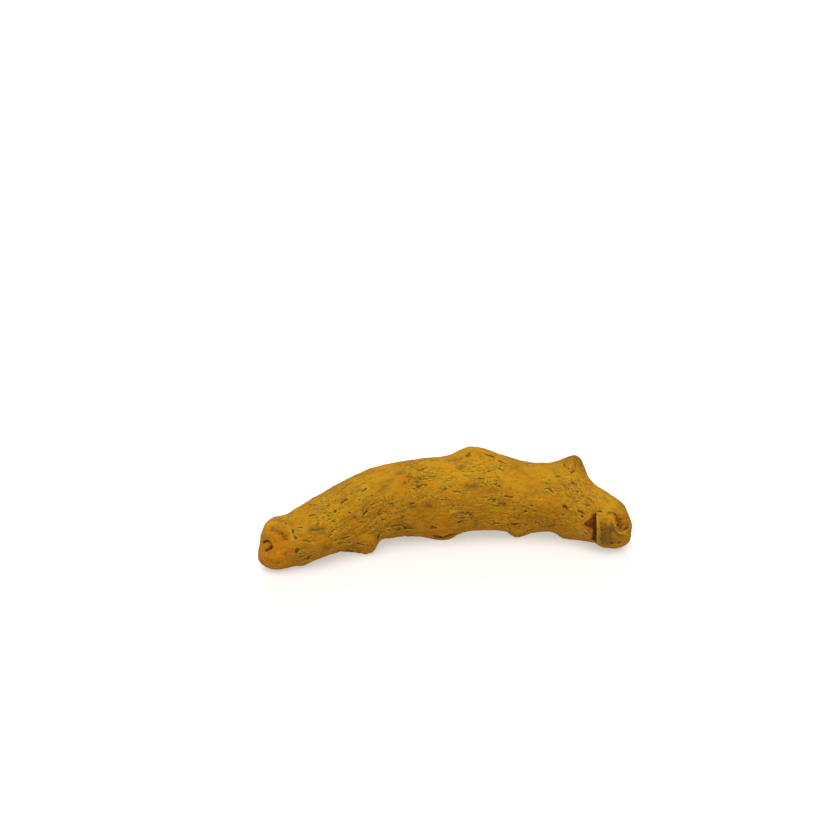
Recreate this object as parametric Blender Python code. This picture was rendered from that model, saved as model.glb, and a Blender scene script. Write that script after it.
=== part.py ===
"""A dried turmeric finger: one piece of cured rhizome, lying on the plane z = 0.

It lies along X with its hollow side towards -Y. The snapped end is at -X and the blunt tip at +X.
Sizes are in millimetres until the mesh is written, in metres.
"""

import math
from typing import NamedTuple

import bmesh
import bpy
import numpy as np

METRES = 0.001
NODE_NAME = "turmeric_root"
COLLECTION_NAME = "turmeric_root_part"

# Skin colour of the cured root, dusted with its own powder, and how matt it is.
SKIN_COLOUR = (0.36, 0.17, 0.005, 1.0)
SKIN_ROUGHNESS = 0.8

# The middle line, as places that it goes through from the snapped end to the tip.
SPINE = (
    (-34.0, -7.2, 4.5),
    (-29.0, -6.2, 5.0),
    (-21.5, -2.1, 6.1),
    (-13.0, 2.6, 7.3),
    (-3.5, 4.2, 7.8),
    (6.5, 4.0, 7.7),
    (15.5, 2.8, 7.3),
    (23.5, -0.1, 6.6),
    (29.1, -4.9, 5.5),
    (33.0, -9.8, 4.8),
)
# Half the finger's thickness at each of those places.
GIRTH = (4.2, 4.6, 5.5, 6.5, 7.1, 7.0, 6.6, 5.9, 5.1, 4.6)

# The two ends: how long the rounding is, and how square its shoulder (2 is a plain ellipse).
SNAPPED_END_REACH = 3.0
SNAPPED_END_SQUARENESS = 2.8
TIP_REACH = 4.6
TIP_SQUARENESS = 2.2


class Swelling(NamedTuple):
    """A raised or sunken place on the skin. Lengths are along the middle line or round the finger."""

    along: float  # where it is, from the snapped end
    turn: float  # and how far round, in degrees: 0 is up and 90 is the hollow side, -Y
    before: float  # how far it spreads towards the snapped end
    after: float  # and towards the tip
    across: float  # and round the finger
    height: float  # negative for a hollow
    power: float = 2.0  # 1 is pointed, 2 is round, 4 is flat-topped


SWELLINGS = {
    "crown_hump": Swelling(43.6, -18.0, 3.7, 6.0, 5.5, 2.0, 2.4),
    "side_bud": Swelling(60.9, -17.0, 2.5, 2.3, 2.8, 3.5, 1.8),
    "snapped_shoulder": Swelling(3.4, 0.0, 1.8, 2.4, 3.2, 0.6),
    "snapped_heel": Swelling(0.1, 172.0, 1.7, 1.5, 2.2, 1.2),
    "snapped_notch": Swelling(0.2, -84.0, 0.9, 0.9, 1.1, -0.5),
    "snapped_brow": Swelling(0.9, -35.0, 1.5, 1.5, 2.2, -0.55),
    "near_root_foot": Swelling(18.9, 141.0, 3.2, 2.9, 3.9, 2.4),
    "middle_root_foot": Swelling(37.6, 158.0, 3.4, 3.0, 2.8, 1.7),
    "far_root_foot": Swelling(52.4, 156.0, 1.8, 2.8, 2.6, 1.6),
    "snapped_dish": Swelling(1.2, 62.0, 2.3, 2.3, 2.3, -0.45, 4.0),
    "torn_pit": Swelling(0.5, 70.0, 0.9, 0.9, 0.9, -0.6),
    "front_bud_scar": Swelling(30.3, 38.0, 1.3, 1.0, 1.0, 0.35),
    "back_branch_scar": Swelling(27.0, -98.0, 3.3, 3.0, 3.1, 1.3, 4.0),
    "back_branch_cup": Swelling(27.0, -98.0, 2.0, 1.9, 2.0, -1.0, 3.0),
    "back_bud": Swelling(51.0, -112.0, 2.6, 2.2, 2.4, 1.6, 1.8),
    "first_root_stub": Swelling(6.4, 150.0, 1.8, 1.6, 2.0, 0.5),
    "back_root_stub": Swelling(13.0, -128.0, 1.8, 1.6, 1.6, 0.9),
    "under_root_stub": Swelling(63.3, 166.0, 2.4, 2.4, 2.2, 0.9),
    "tip_shoulder": Swelling(72.4, -62.0, 2.0, 1.8, 2.6, -0.6),
    "scar_foot_dent": Swelling(70.2, 152.0, 1.6, 1.5, 1.8, -0.45),
    "tip_heel": Swelling(74.0, -160.0, 1.8, 1.8, 2.4, 0.7),
    "tip_knuckle": Swelling(66.5, -96.0, 2.6, 2.4, 3.4, 0.6),
}


class SheathScar(NamedTuple):
    """The last leaf sheath's remains: a plate that stands up at a straight edge, past a recess."""

    edge: float = 71.2  # where the straight edge is, along the middle line
    end: float = 74.2  # where the plate has died away towards the tip
    turn: float = 84.0  # its middle, in degrees round the finger
    across: float = 3.6  # half its width round the finger
    height: float = 0.75
    edge_width: float = 0.5  # how far the step takes
    recess_width: float = 1.3
    recess_depth: float = 0.6


SHEATH_SCAR = SheathScar()

# Uneven swelling of the whole finger: grain sizes along and round it, height and random seed.
LUMPS = ((7.0, 7.0, 0.42, 3), (5.0, 2.6, 0.22, 8), (3.4, 1.9, 0.10, 15))

# Mesh density.
SEGMENTS_ROUND = 64
RINGS_ALONG = 90
CLOSE_REACH = 5.5  # how far in from each end the rings are closer
CLOSENESS = 2.0  # how many times closer
PROFILE_SAMPLES = 2000
SPINE_SAMPLES = 400

# The finger is set this much lower than its modelled height, and what sinks below z = 0 is worn
# flat, with an edge this soft.
SETTLE = 0.3
FLAT_EDGE = 0.12


def spline(knots, values, places):
    """Natural cubic curve through the values at the knots, read at each of the places."""
    gaps = np.diff(knots)[:, None]
    slopes = np.diff(values, axis=0) / gaps
    count = len(knots)
    matrix, right = np.eye(count), np.zeros_like(values)
    for i in range(1, count - 1):
        before, after = gaps[i - 1, 0], gaps[i, 0]
        matrix[i, i - 1 : i + 2] = before, 2 * (before + after), after
        right[i] = 3 * (slopes[i] - slopes[i - 1])
    bend = np.linalg.solve(matrix, right)
    cell = np.clip(np.searchsorted(knots, places, side="right") - 1, 0, count - 2)
    step, gap = (places - knots[cell])[:, None], gaps[cell]
    first = slopes[cell] - gap * (2 * bend[cell] + bend[cell + 1]) / 3
    third = (bend[cell + 1] - bend[cell]) / (3 * gap)
    return values[cell] + first * step + bend[cell] * step**2 + third * step**3


def noise(points, seed):
    """Smooth noise of about -1 to 1 at each point, from a random slope at each whole-numbered place."""
    corner = np.floor(points).astype(np.int64)
    part = points - corner
    fade = part**3 * (part * (part * 6 - 15) + 10)
    total = np.zeros(len(points))
    for step in np.ndindex(2, 2, 2):
        x, y, z = (corner + step).T
        mixed = (x * 73856093) ^ (y * 19349663) ^ (z * 83492791) ^ (seed * 961748927)
        mixed = (mixed & 0xFFFFFFFF) * 2246822519 & 0xFFFFFFFF
        mixed = (mixed ^ (mixed >> 15)) * 3266489917 & 0xFFFFFFFF
        turn = (mixed & 0xFFFF) / 0x10000 * 2 * math.pi
        rise = (mixed >> 16) / 0x8000 - 1
        flat = np.sqrt(1 - rise**2)
        away = part - step
        slope = away[:, 0] * flat * np.cos(turn) + away[:, 1] * flat * np.sin(turn) + away[:, 2] * rise
        total += np.where(step, fade, 1 - fade).prod(axis=1) * slope
    return total * 1.5


def middle_line():
    """The spine as close points: the length up to each, its place and the girth there."""
    spine = np.array(SPINE)
    knots = np.concatenate([[0], np.cumsum(np.linalg.norm(np.diff(spine, axis=0), axis=1))])
    fine = spline(
        knots, np.column_stack([spine, GIRTH]), np.linspace(0, knots[-1], SPINE_SAMPLES)
    )
    points, girth = fine[:, :3], fine[:, 3]
    along = np.concatenate([[0], np.cumsum(np.linalg.norm(np.diff(points, axis=0), axis=1))])
    return along, points, girth


def end_rounding(along, length):
    """Share of the girth that is left at each place: 1 in the middle, falling to 0 at both ends."""
    share = np.ones_like(along)
    for distance, reach, squareness in (
        (along, SNAPPED_END_REACH, SNAPPED_END_SQUARENESS),
        (length - along, TIP_REACH, TIP_SQUARENESS),
    ):
        inside = 1 - np.clip(distance / reach, 0, 1)
        share *= (1 - inside**squareness) ** (1 / squareness)
    return share


def smooth_finger(ring_share, angle):
    """The finger before its swellings, for a share of the way over the profile and an angle.

    Returns its points, its outward normals, and the same points on the finger pulled straight:
    length along it, then upwards and towards the hollow side.
    """
    line, points, girth = middle_line()
    length = line[-1]
    sweep = (1 - np.cos(np.linspace(0, math.pi, PROFILE_SAMPLES))) / 2 * length
    profile = np.interp(sweep, line, girth) * end_rounding(sweep, length)
    steps = np.hypot(np.diff(sweep), np.diff(profile))
    walked = np.concatenate([[0], np.cumsum(steps)])
    # Rings are spaced evenly over the profile, and closer by the ends, which have the finest forms.
    from_end = np.minimum(sweep, length - sweep)[1:]
    rings = np.concatenate([[0], np.cumsum(steps * np.where(from_end < CLOSE_REACH, CLOSENESS, 1))])
    place = ring_share * rings[-1]
    along = np.interp(place, rings, sweep)
    radius = np.interp(place, rings, profile)

    def on_line(values):
        return np.column_stack([np.interp(along, line, column) for column in values.T])

    centre = on_line(points)
    forward = on_line(np.gradient(points, line, axis=0))
    forward /= np.linalg.norm(forward, axis=1, keepdims=True)
    up = np.array([0.0, 0.0, 1.0]) - forward * forward[:, 2:]
    up /= np.linalg.norm(up, axis=1, keepdims=True)
    side = np.cross(forward, up)
    outward = up * np.cos(angle)[:, None] + side * np.sin(angle)[:, None]
    rise = np.interp(place, rings, np.gradient(profile, walked))[:, None]
    run = np.sqrt(np.clip(1 - rise**2, 0, 1))
    normal = outward * run - forward * rise
    straight = np.column_stack([along, radius * np.cos(angle), radius * np.sin(angle)])
    return centre + outward * radius[:, None], normal, straight


def place_on_straight(along, turn):
    """A place on the finger pulled straight, from its length along it and its angle in degrees."""
    line, _, girth = middle_line()
    radius = np.interp(along, line, girth) * end_rounding(np.array([along]), line[-1])[0]
    turn = math.radians(turn)
    return np.array([along, radius * math.cos(turn), radius * math.sin(turn)])


def swelling_height(swelling, straight):
    """How much one swelling raises the skin at each point."""
    offset = straight - place_on_straight(swelling.along, swelling.turn)
    run = offset[:, 0] / np.where(offset[:, 0] < 0, swelling.before, swelling.after)
    off = np.hypot(offset[:, 1], offset[:, 2]) / swelling.across
    return swelling.height * np.exp(-(np.hypot(run, off) ** swelling.power))


def smooth_step(value):
    """0 below 0, 1 above 1 and an even slope between."""
    value = np.clip(value, 0, 1)
    return value * value * (3 - 2 * value)


def sheath_height(scar, straight):
    """How much the sheath scar's plate and recess raise the skin at each point."""
    offset = straight - place_on_straight(scar.edge, scar.turn)
    off = np.hypot(offset[:, 1], offset[:, 2]) / scar.across
    inside = np.exp(-(off**4))
    run = offset[:, 0]
    fade = 1 - smooth_step(run / (scar.end - scar.edge) - 0.4)
    plate = scar.height * smooth_step(run / scar.edge_width + 0.5) * fade
    recess = scar.recess_depth * np.exp(-(((run + scar.recess_width / 2) / scar.recess_width * 2) ** 2))
    return inside * (plate - recess)


def skin(ring_share, angle):
    """The finished skin's points, in the order of the given places."""
    points, normal, straight = smooth_finger(ring_share, angle)
    lift = sheath_height(SHEATH_SCAR, straight)
    for swelling in SWELLINGS.values():
        lift += swelling_height(swelling, straight)
    for grain_along, grain_round, height, seed in LUMPS:
        lift += height * noise(straight / (grain_along, grain_round, grain_round), seed)
    points = points + normal * lift[:, None]
    points[:, 2] = worn_flat(points[:, 2] - SETTLE)
    return points


def worn_flat(height):
    """Heights with what would go below the plane pressed flat on it, and a soft edge to that."""
    raised = np.maximum(height, 0)
    return np.where(raised < 2 * FLAT_EDGE, raised**2 / (4 * FLAT_EDGE), raised - FLAT_EDGE)


def build_root():
    """A ball whose rings and meridians are laid over the finger, from its snapped end to its tip."""
    mesh = bpy.data.meshes.new(NODE_NAME)
    ball = bmesh.new()
    bmesh.ops.create_uvsphere(ball, u_segments=SEGMENTS_ROUND, v_segments=RINGS_ALONG, radius=1.0)
    ball.to_mesh(mesh)
    ball.free()
    places = np.zeros(len(mesh.vertices) * 3)
    mesh.vertices.foreach_get("co", places)
    x, y, z = places.reshape(-1, 3).T
    ring_share = np.arccos(np.clip(-z, -1, 1)) / math.pi
    points = skin(ring_share, np.arctan2(y, x))
    mesh.vertices.foreach_set("co", (points * METRES).ravel())
    mesh.update()
    mesh.shade_smooth()
    return bpy.data.objects.new(NODE_NAME, mesh)


def skin_material():
    """The plain finish of the root."""
    material = bpy.data.materials.new("turmeric_skin")
    material.use_nodes = True
    shader = material.node_tree.nodes["Principled BSDF"]
    shader.inputs["Base Color"].default_value = SKIN_COLOUR
    shader.inputs["Roughness"].default_value = SKIN_ROUGHNESS
    shader.inputs["Metallic"].default_value = 0.0
    return material


def main():
    """Clears the scene and makes the root in its own collection."""
    for old in list(bpy.data.objects):
        bpy.data.objects.remove(old)
    home = bpy.data.collections.new(COLLECTION_NAME)
    bpy.context.scene.collection.children.link(home)
    root = build_root()
    root.data.materials.append(skin_material())
    home.objects.link(root)


main()
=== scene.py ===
"""The look of one dried turmeric finger: its fine skin, its finish, and the table that it lies on.

Lengths are in millimetres until a mesh or a light is made, in metres. A place on the finger is
given by `along`, its length from the snapped end on the middle line, and by `turn`, its angle round
the finger in degrees: 0 is up, 90 is the hollow side, -Y, and -90 is the back.
"""
import logging
import math
from dataclasses import dataclass, field, replace
from enum import Enum

import bpy
import mathutils
import numpy as np
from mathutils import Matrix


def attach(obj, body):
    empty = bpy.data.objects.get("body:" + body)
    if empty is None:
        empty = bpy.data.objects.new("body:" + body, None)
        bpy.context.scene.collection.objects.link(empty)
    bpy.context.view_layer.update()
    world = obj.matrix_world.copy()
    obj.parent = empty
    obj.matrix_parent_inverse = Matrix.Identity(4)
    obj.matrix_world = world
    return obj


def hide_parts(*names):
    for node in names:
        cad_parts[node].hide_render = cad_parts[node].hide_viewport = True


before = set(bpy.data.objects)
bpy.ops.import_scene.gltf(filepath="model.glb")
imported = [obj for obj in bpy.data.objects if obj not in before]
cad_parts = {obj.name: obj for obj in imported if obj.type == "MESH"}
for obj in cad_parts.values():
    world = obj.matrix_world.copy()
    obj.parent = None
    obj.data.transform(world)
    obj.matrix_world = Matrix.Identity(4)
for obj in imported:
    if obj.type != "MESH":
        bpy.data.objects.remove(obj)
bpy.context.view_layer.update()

LOG = logging.getLogger("turmeric")
METRES = 0.001
NOISE_GAIN = 1.5  # brings the noise out to about -1 and 1
# How far under a mark's place the skin still counts as the mark's own side, in millimetres. From
# the second or third depth on, it is the finger's far side, for a mark and for a field of them.
OWN_SIDE_DEPTH = 2.0
MARK_DEPTH = 3.0
FIELD_DEPTH = 4.0
Colour = tuple[float, float, float]
Axes = tuple[float, float, float]  # one number for each of x, y and z
Span = tuple[float, float]


def smooth_step(value: np.ndarray) -> np.ndarray:
    """0 below 0, 1 above 1, and 3v^2 - 2v^3 between."""
    value = np.clip(value, 0, 1)
    return value * value * (3 - 2 * value)


def own_side(rise: np.ndarray, depth: float) -> np.ndarray:
    """1 down to OWN_SIDE_DEPTH under a mark's place, 0 from the given depth on, smooth between."""
    return smooth_step((rise + depth) / (depth - OWN_SIDE_DEPTH))


def unit(vectors: np.ndarray) -> np.ndarray:
    """The vectors at length 1."""
    return vectors / np.linalg.norm(vectors, axis=-1, keepdims=True)


def gradient_noise(points: np.ndarray, seed: int) -> np.ndarray:
    """Smooth noise of about -1 to 1.

    Each whole-numbered corner has a random slope. A point's value is the slopes of its cell's eight
    corners times its distances from them, blended by 6t^5 - 15t^4 + 10t^3 on each axis.

    Args:
        points: Places, one a row.
        seed: Which noise.

    Returns:
        One value for each point.
    """
    corner = np.floor(points).astype(np.int64)
    part = points - corner
    fade = part**3 * (part * (part * 6 - 15) + 10)
    total = np.zeros(len(points))
    for step in np.ndindex(2, 2, 2):
        x, y, z = (corner + step).T
        # Large odd numbers mix the corner and the seed into 32 bits that look random.
        mixed = (x * 73856093) ^ (y * 19349663) ^ (z * 83492791) ^ (seed * 961748927)
        mixed = (mixed & 0xFFFFFFFF) * 2246822519 & 0xFFFFFFFF
        mixed = (mixed ^ (mixed >> 15)) * 3266489917 & 0xFFFFFFFF
        turn = (mixed & 0xFFFF) / 0x10000 * 2 * math.pi
        rise = (mixed >> 16) / 0x8000 - 1
        flat = np.sqrt(1 - rise**2)
        away = part - step
        level = away[:, 0] * np.cos(turn) + away[:, 1] * np.sin(turn)
        slope = level * flat + away[:, 2] * rise
        total += np.where(step, fade, 1 - fade).prod(axis=1) * slope
    return total * NOISE_GAIN


def natural_spline(knots: np.ndarray, values: np.ndarray, places: np.ndarray) -> np.ndarray:
    """Cubic curve through the values at the knots, straight past its two ends, read at the places.

    Args:
        knots: Rising places of the known values.
        values: The known values, one row a knot.
        places: Where to read the curve.

    Returns:
        One row of values for each place.
    """
    gaps = np.diff(knots)[:, None]
    slopes = np.diff(values, axis=0) / gaps
    count = len(knots)
    matrix, right = np.eye(count), np.zeros_like(values)
    for i in range(1, count - 1):
        before, after = gaps[i - 1, 0], gaps[i, 0]
        matrix[i, i - 1 : i + 2] = before, 2 * (before + after), after
        right[i] = 3 * (slopes[i] - slopes[i - 1])
    bend = np.linalg.solve(matrix, right)
    cell = np.clip(np.searchsorted(knots, places, side="right") - 1, 0, count - 2)
    step, gap = (places - knots[cell])[:, None], gaps[cell]
    first = slopes[cell] - gap * (2 * bend[cell] + bend[cell + 1]) / 3
    third = (bend[cell + 1] - bend[cell]) / (3 * gap)
    return values[cell] + first * step + bend[cell] * step**2 + third * step**3


@dataclass(frozen=True)
class Grain:
    """One noise over the skin: its size along and round the finger, its strength and its seed."""

    along: float
    around: float
    strength: float
    seed: int

    def at(self, straight: np.ndarray, sway: np.ndarray | float = 0.0) -> np.ndarray:
        """strength * noise(place / size + sway) for each point of the straight body."""
        size = (self.along, self.around, self.around)
        return self.strength * gradient_noise(straight / size + sway, self.seed)


class Tone(Enum):
    """What colours a mark. Its number is its column in the stain strengths."""

    CRACK = 0  # dark brown, down in a crack
    GREY = 1  # grey and violet weathered cork
    RUBBED = 2  # orange, where the skin is rubbed off
    FLESH_AND_SHADE = 3  # dark red-brown inner flesh, and painted shade in the scar's recess and the end's groove
    PAINTED_HIGHLIGHT = 4  # painted highlight in light yellow, on ridges, edges and lips


@dataclass(frozen=True)
class Swelling:
    """A raised or sunken place of the body, which the solid has too."""

    along: float
    turn: float
    before: float  # its reach towards the snapped end
    after: float  # and towards the tip
    across: float  # and round the finger
    height: float
    power: float = 2.0  # 1 is pointed, 2 is round, 4 is flat-topped


@dataclass(frozen=True)
class Stroke:
    """A long mark pressed into the skin or standing on it.

    Its strength is exp(-(|p / half_length|^4 + |q / half_width|^2)), where p runs along the stroke
    and q across it, less bow times p^2 and a small wander.
    """

    along: float
    turn: float
    half_length: float
    half_width: float
    slant: float = 0.0  # degrees from the finger's length towards the hollow side
    height: float = 0.0
    tone: Tone = Tone.CRACK
    strength: float = 1.0
    bow: float = 0.0
    ragged: float = 0.5  # how much fine noise frays its edge


@dataclass(frozen=True)
class Ring:
    """A round crease or rim: exp(-((distance from the middle - radius) / half_width)^2).

    It fades away on the side at `open_at`, in degrees from the finger's length, if it has one.
    """

    along: float
    turn: float
    radius: float
    half_width: float
    height: float
    tone: Tone = Tone.CRACK
    strength: float = 1.0
    open_at: float | None = None


@dataclass(frozen=True)
class Trail:
    """A curved ridge or groove through some places.

    Its strength is exp(-(distance from the curve / half_width)^2).
    """

    through: tuple[tuple[float, float], ...]  # along and turn of each place
    half_width: float
    height: float
    tone: Tone = Tone.CRACK
    strength: float = 1.0


@dataclass(frozen=True)
class SheathScar:
    """The last leaf sheath's remains: a plate that stands up at a straight edge, past a recess."""

    edge: float = 71.6  # the edge's length along the finger
    edge_lean: float = 0.22
    edge_bow: float = -0.09
    end: float = 74.2
    fade_from: float = 0.4  # share of the way to its end from which the plate sinks
    turn: float = 84.0
    top: float = -2.85  # where its edge fades out, round the finger from that turn
    top_fade: float = 0.8  # and over what length
    across: float = 3.6
    height: float = 0.62
    edge_width: float = 0.3
    recess_width: float = 1.3
    recess_depth: float = 0.6


@dataclass(frozen=True)
class WrinkleField:
    """A stretch of skin with deeper folds than elsewhere, or with more or fewer cracks."""

    along: float
    turn: float
    reach_along: float
    reach_round: float
    depth: float


@dataclass
class SkinPlaces:
    """The grid's points on the smooth body, ring by ring, and the same points pulled straight.

    The straight body keeps each point's length along the middle line and its way out from it, so
    that a mark or a pattern laid out there follows the bend.
    """

    point: np.ndarray
    normal: np.ndarray
    straight: np.ndarray


@dataclass
class FingerBody:
    """The finger's solid shape: a bent, tapered body with swellings, worn flat where it lies."""

    # The middle line from the snapped end to the tip, and half the thickness at each of its places.
    spine: tuple[Axes, ...] = (
        (-34.0, -7.2, 4.5),
        (-29.0, -6.2, 5.0),
        (-21.5, -2.1, 6.1),
        (-13.0, 2.6, 7.3),
        (-3.5, 4.2, 7.8),
        (6.5, 4.0, 7.7),
        (15.5, 2.8, 7.3),
        (23.5, -0.1, 6.6),
        (29.1, -4.9, 5.5),
        (33.0, -9.8, 4.8),
    )
    girth: tuple[float, ...] = (4.2, 4.6, 5.5, 6.5, 7.1, 7.0, 6.6, 5.9, 5.1, 4.6)
    # How long each end's rounding is, and how square its shoulder: 2 is a plain ellipse.
    snapped_reach: float = 3.0
    snapped_squareness: float = 2.8
    tip_reach: float = 4.6
    tip_squareness: float = 2.2
    # How deep it is worn flat, and how soft the flat spots' edges are.
    settle: float = 0.3
    flat_edge: float = 0.12
    swellings: dict[str, Swelling] = field(
        default_factory=lambda: {
            "crown_hump": Swelling(43.6, -18.0, 3.7, 6.0, 5.5, 2.0, 2.4),
            "side_bud": Swelling(60.9, -17.0, 2.5, 2.3, 2.8, 3.5, 1.8),
            "snapped_shoulder": Swelling(3.4, 0.0, 1.8, 2.4, 3.2, 0.6),
            "snapped_heel": Swelling(0.1, 172.0, 1.7, 1.5, 2.2, 1.2),
            "snapped_notch": Swelling(0.2, -84.0, 0.9, 0.9, 1.1, -0.5),
            "snapped_brow": Swelling(0.9, -35.0, 1.5, 1.5, 2.2, -0.55),
            "near_root_foot": Swelling(18.9, 141.0, 3.2, 2.9, 3.9, 2.4),
            "middle_root_foot": Swelling(37.6, 158.0, 3.4, 3.0, 2.8, 1.7),
            "far_root_foot": Swelling(52.4, 156.0, 1.8, 2.8, 2.6, 1.6),
            "snapped_dish": Swelling(1.2, 62.0, 2.3, 2.3, 2.3, -0.45, 4.0),
            "torn_pit": Swelling(0.5, 70.0, 0.9, 0.9, 0.9, -0.6),
            "front_bud_scar": Swelling(30.3, 38.0, 1.3, 1.0, 1.0, 0.35),
            "back_branch_scar": Swelling(27.0, -98.0, 3.3, 3.0, 3.1, 1.3, 4.0),
            "back_branch_cup": Swelling(27.0, -98.0, 2.0, 1.9, 2.0, -1.0, 3.0),
            "back_bud": Swelling(51.0, -112.0, 2.6, 2.2, 2.4, 1.6, 1.8),
            "first_root_stub": Swelling(6.4, 150.0, 1.8, 1.6, 2.0, 0.5),
            "back_root_stub": Swelling(13.0, -128.0, 1.8, 1.6, 1.6, 0.9),
            "under_root_stub": Swelling(63.3, 166.0, 2.4, 2.4, 2.2, 0.9),
            "tip_shoulder": Swelling(72.4, -62.0, 2.0, 1.8, 2.6, -0.6),
            "scar_foot_dent": Swelling(70.2, 152.0, 1.6, 1.5, 1.8, -0.45),
            "tip_heel": Swelling(74.0, -160.0, 1.8, 1.8, 2.4, 0.7),
            "tip_knuckle": Swelling(66.5, -96.0, 2.6, 2.4, 3.4, 0.6),
        }
    )
    sheath: SheathScar = SheathScar()
    lumps: tuple[Grain, ...] = (
        Grain(7.0, 7.0, 0.42, 3),
        Grain(5.0, 2.6, 0.22, 8),
        Grain(3.4, 1.9, 0.10, 15),
    )
    spine_samples: int = 400
    profile_samples: int = 4000

    def __post_init__(self) -> None:
        """Works out the middle line and the straight body's profile."""
        spine = np.array(self.spine)
        knots = np.concatenate([[0], np.cumsum(np.linalg.norm(np.diff(spine, axis=0), axis=1))])
        fine = natural_spline(
            knots,
            np.column_stack([spine, self.girth]),
            np.linspace(0, knots[-1], self.spine_samples),
        )
        self.line_points = fine[:, :3]
        steps = np.linalg.norm(np.diff(self.line_points, axis=0), axis=1)
        self.line = np.concatenate([[0], np.cumsum(steps)])
        self.line_girth = fine[:, 3]
        self.length = self.line[-1]
        # Closer samples at the ends, where the profile turns in: (1 - cos) / 2 of an even angle.
        self.sweep = (1 - np.cos(np.linspace(0, math.pi, self.profile_samples))) / 2 * self.length
        girth = np.interp(self.sweep, self.line, self.line_girth)
        self.profile = girth * self.end_share(self.sweep)
        steps = np.hypot(np.diff(self.sweep), np.diff(self.profile))
        self.walked = np.concatenate([[0], np.cumsum(steps)])

    def end_share(self, along: np.ndarray) -> np.ndarray:
        """Share of the girth that is left: (1 - t^n)^(1/n) in each end's reach, 1 between.

        Args:
            along: Lengths along the middle line.

        Returns:
            The share at each length.
        """
        share = np.ones_like(along)
        for distance, reach, squareness in (
            (along, self.snapped_reach, self.snapped_squareness),
            (self.length - along, self.tip_reach, self.tip_squareness),
        ):
            inside = 1 - np.clip(distance / reach, 0, 1)
            share *= (1 - inside**squareness) ** (1 / squareness)
        return share

    def lay_out(self, share: np.ndarray, angle: np.ndarray) -> SkinPlaces:
        """Points on the smooth body.

        The share goes evenly over the profile from the snapped end to the tip. Each point stands
        out from the middle line by the profile's radius, at its angle between up and the side.

        Args:
            share: 0 at the snapped end to 1 at the tip.
            angle: Radians round the finger.

        Returns:
            The places, in the given order.
        """
        place = share * self.walked[-1]
        along = np.interp(place, self.walked, self.sweep)
        radius = np.interp(place, self.walked, self.profile)
        rise = np.interp(place, self.walked, np.gradient(self.profile, self.walked))
        run = np.sqrt(np.clip(1 - rise**2, 0, 1))

        def on_line(values: np.ndarray) -> np.ndarray:
            """The line's values at each point's length along it."""
            return np.column_stack([np.interp(along, self.line, column) for column in values.T])

        centre = on_line(self.line_points)
        forward = unit(on_line(np.gradient(self.line_points, self.line, axis=0)))
        upward = unit(np.array([0.0, 0.0, 1.0]) - forward * forward[:, 2:])
        sideways = np.cross(forward, upward)
        cosine, sine = np.cos(angle), np.sin(angle)
        outward = upward * cosine[:, None] + sideways * sine[:, None]
        return SkinPlaces(
            point=centre + outward * radius[:, None],
            normal=outward * run[:, None] - forward * rise[:, None],
            straight=np.column_stack([along, radius * cosine, radius * sine]),
        )

    def spot(self, along: float, turn: float) -> tuple[np.ndarray, np.ndarray]:
        """A place on the straight body and the directions there.

        Args:
            along: Length along the middle line.
            turn: Degrees round the finger.

        Returns:
            The place, and three rows: along the skin, round the finger, and out of the skin.
        """
        radius = float(np.interp(along, self.sweep, self.profile))
        rise = float(np.interp(along, self.sweep, np.gradient(self.profile, self.walked)))
        run = math.sqrt(max(1 - rise**2, 0.0))
        cosine, sine = math.cos(math.radians(turn)), math.sin(math.radians(turn))
        place = np.array([along, radius * cosine, radius * sine])
        return place, np.array(
            [
                [run, rise * cosine, rise * sine],
                [0.0, -sine, cosine],
                [-rise, run * cosine, run * sine],
            ]
        )

    def swelling_lift(self, swelling: Swelling, straight: np.ndarray) -> np.ndarray:
        """height * exp(-d^power), with d the distance over the swelling's reach each way.

        Args:
            swelling: The raised or sunken place.
            straight: Points of the straight body.

        Returns:
            How far it raises the skin at each point.
        """
        offset = straight - self.spot(swelling.along, swelling.turn)[0]
        run = offset[:, 0] / np.where(offset[:, 0] < 0, swelling.before, swelling.after)
        off = np.hypot(offset[:, 1], offset[:, 2]) / swelling.across
        return swelling.height * np.exp(-(np.hypot(run, off) ** swelling.power))

    def past_sheath(self, straight: np.ndarray) -> tuple[np.ndarray, np.ndarray, np.ndarray]:
        """Where each point lies about the sheath scar.

        The edge lies at edge + edge_lean * q + edge_bow * q^2, with q the distance round it.

        Args:
            straight: Points of the straight body.

        Returns:
            The distance past the edge, q, and the scar's share, exp(-(distance / across)^4), which
            ends at its top.
        """
        scar = self.sheath
        spot, ways = self.spot(scar.edge, scar.turn)
        offset = straight - spot
        off = np.hypot(offset[:, 1], offset[:, 2]) / scar.across
        q = offset @ ways[1]
        share = np.exp(-(off**4)) * smooth_step((q - scar.top) / scar.top_fade + 0.5)
        return offset[:, 0] - scar.edge_lean * q - scar.edge_bow * q**2, q, share

    def sheath_lift(self, straight: np.ndarray) -> np.ndarray:
        """A smooth step up at the scar's edge that dies away to its end, less a dip before it.

        Args:
            straight: Points of the straight body.

        Returns:
            How far the scar raises the skin at each point.
        """
        scar = self.sheath
        run, _, inside = self.past_sheath(straight)
        fade = 1 - smooth_step(run / (scar.end - scar.edge) - scar.fade_from)
        plate = scar.height * smooth_step(run / scar.edge_width + 0.5) * fade
        dip = np.exp(-(((run + scar.recess_width / 2) / scar.recess_width * 2) ** 2))
        return inside * (plate - scar.recess_depth * dip)

    def lift(self, straight: np.ndarray) -> np.ndarray:
        """The sum of the solid's own forms: the scar, the swellings and the lumps.

        Args:
            straight: Points of the straight body.

        Returns:
            How far they raise the skin at each point.
        """
        total = self.sheath_lift(straight)
        for swelling in self.swellings.values():
            total += self.swelling_lift(swelling, straight)
        for lump in self.lumps:
            total += lump.at(straight)
        return total

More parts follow.
